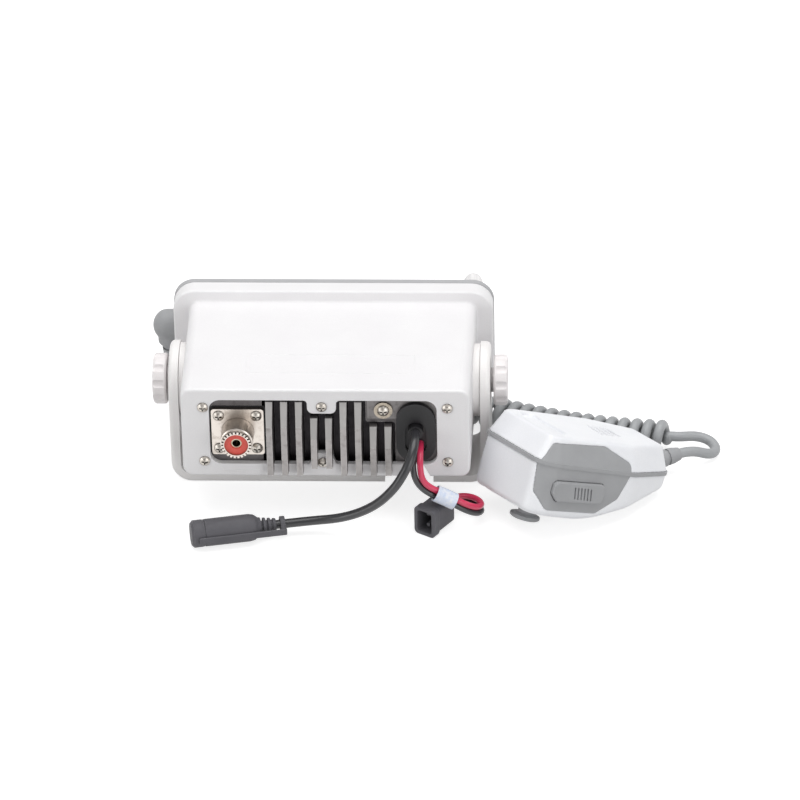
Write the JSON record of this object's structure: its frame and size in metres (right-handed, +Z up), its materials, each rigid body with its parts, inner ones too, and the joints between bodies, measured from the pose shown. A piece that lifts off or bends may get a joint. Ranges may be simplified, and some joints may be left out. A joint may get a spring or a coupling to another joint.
{
  "type": "vhf marine radio",
  "caption": "Fixed-mount marine radio in a tilting gimbal bracket, with finned rear, antenna socket, curly-cord hand microphone and capped cable plugs.",
  "frame": {"origin": "centre of the four base bolts on the bracket's underside, directly below the tilt axis", "axes": "+X along the tilt axis towards the microphone cord's boot, +Y out of the finned rear, +Z up"},
  "size_m": [0.2819, 0.1661, 0.0798],
  "materials": {
    "white_casting": "satin powder coat",
    "white_plastic": "satin",
    "mic_white_plastic": "satin",
    "cast_aluminium": "as cast",
    "grey_rubber": "matt",
    "grey_cord": "satin",
    "black_cable": "gloss",
    "red_cable": "gloss",
    "white_sleeve": "satin",
    "dark_rubber": "matt",
    "nickel": "bright",
    "brass_parts": "bright",
    "red_insulator": "gloss",
    "clear_window": "clear",
    "board": "solder mask",
    "dark_plastic": "matt",
    "tin_plate": "bright"
  },
  "bodies": {
    "bracket": {"mounting_bracket": "white_casting", "mic_front_shell": "mic_white_plastic", "mic_back_shell": "mic_white_plastic", "mic_seal_band": "grey_rubber", "mic_grip": "grey_rubber", "mic_board": "board", "mic_element": "tin_plate", "mic_screws": "nickel", "hang_button": "grey_rubber", "mic_strain_relief": "grey_rubber", "mic_cord_coil": "grey_cord", "mic_cord_tail": "grey_cord", "mic_cord_lead": "grey_cord", "accessory_cable": "black_cable", "power_lead_red": "red_cable", "power_lead_black": "black_cable", "lead_sleeve": "white_sleeve", "accessory_plug": "dark_rubber", "cap_strap": "dark_rubber", "power_connector": "dark_rubber"},
    "radio": {"antenna_contact": "brass_parts", "antenna_gasket": "dark_rubber", "antenna_insulator": "red_insulator", "antenna_screws": "nickel", "antenna_socket": "nickel", "cable_grommet": "dark_rubber", "case_screws": "nickel", "channel_encoder": "dark_plastic", "cord_boot": "grey_rubber", "cord_strain_relief": "grey_rubber", "display_window": "clear_window", "front_bezel": "white_plastic", "front_board": "board", "ground_screw": "nickel", "ground_washer": "brass_parts", "heatsink_chassis": "cast_aluminium", "key_membrane": "grey_rubber", "knob_potentiometers": "dark_plastic", "lcd_module": "dark_plastic", "main_board": "board", "power_module": "dark_plastic", "rear_case": "white_plastic", "rf_shield": "tin_plate", "speaker": "dark_plastic", "tilt_discs": "white_plastic", "tilt_inserts": "brass_parts", "trim_gasket": "grey_rubber"},
    "side_knob_left": {"side_knob_left": "white_plastic"},
    "side_knob_right": {"side_knob_right": "white_plastic"},
    "volume_knob": {"volume_knob": "white_plastic"},
    "squelch_knob": {"squelch_knob": "white_plastic"},
    "channel_knob": {"channel_knob": "white_plastic"},
    "plug_cap": {"plug_cap": "dark_rubber"},
    "talk_key": {"ptt_button": "grey_rubber"},
    "key_1": {"key_1": "dark_plastic"},
    "key_2": {"key_2": "dark_plastic"},
    "key_3": {"key_3": "dark_plastic"},
    "key_4": {"key_4": "dark_plastic"},
    "key_5": {"key_5": "dark_plastic"},
    "key_6": {"key_6": "dark_plastic"}
  },
  "joints": [
    {"name": "tilt", "type": "hinge", "parent": "bracket", "child": "radio", "pos_m": [0, 0, 0.0485], "axis": [1, 0, 0], "range_deg": [-30, 15], "deforming": ["mic_cord_tail", "mic_cord_coil", "accessory_cable", "power_lead_red", "power_lead_black"]},
    {"name": "left_knob_turn", "type": "hinge", "parent": "radio", "child": "side_knob_left", "pos_m": [0.083, 0, 0.0485], "axis": [1, 0, 0], "continuous": true},
    {"name": "right_knob_turn", "type": "hinge", "parent": "radio", "child": "side_knob_right", "pos_m": [-0.083, 0, 0.0485], "axis": [1, 0, 0], "continuous": true},
    {"name": "volume_turn", "type": "hinge", "parent": "radio", "child": "volume_knob", "pos_m": [-0.0683, -0.07, 0.0615], "axis": [0, 1, 0], "range_deg": [-150, 150]},
    {"name": "squelch_turn", "type": "hinge", "parent": "radio", "child": "squelch_knob", "pos_m": [-0.0683, -0.07, 0.0355], "axis": [0, 1, 0], "range_deg": [-150, 150]},
    {"name": "channel_turn", "type": "hinge", "parent": "radio", "child": "channel_knob", "pos_m": [0.0605, -0.07, 0.0445], "axis": [0, 1, 0], "continuous": true},
    {"name": "talk_press", "type": "slide", "parent": "bracket", "child": "talk_key", "axis": [0.5423, -0.8264, -0.1517], "range_m": [0, 0.0014], "stiffness_N_per_m": 600},
    {"name": "cap_pull", "type": "slide", "parent": "bracket", "child": "plug_cap", "axis": [0.9755, 0.2198, 0], "range_m": [0, 0.012]},
    {"name": "key_1_press", "type": "slide", "parent": "radio", "child": "key_1", "axis": [0, 1, 0], "range_m": [0, 0.0008], "stiffness_N_per_m": 500},
    {"name": "key_2_press", "type": "slide", "parent": "radio", "child": "key_2", "axis": [0, 1, 0], "range_m": [0, 0.0008], "stiffness_N_per_m": 500},
    {"name": "key_3_press", "type": "slide", "parent": "radio", "child": "key_3", "axis": [0, 1, 0], "range_m": [0, 0.0008], "stiffness_N_per_m": 500},
    {"name": "key_4_press", "type": "slide", "parent": "radio", "child": "key_4", "axis": [0, 1, 0], "range_m": [0, 0.0008], "stiffness_N_per_m": 500},
    {"name": "key_5_press", "type": "slide", "parent": "radio", "child": "key_5", "axis": [0, 1, 0], "range_m": [0, 0.0008], "stiffness_N_per_m": 500},
    {"name": "key_6_press", "type": "slide", "parent": "radio", "child": "key_6", "axis": [0, 1, 0], "range_m": [0, 0.0008], "stiffness_N_per_m": 500}
  ]
}
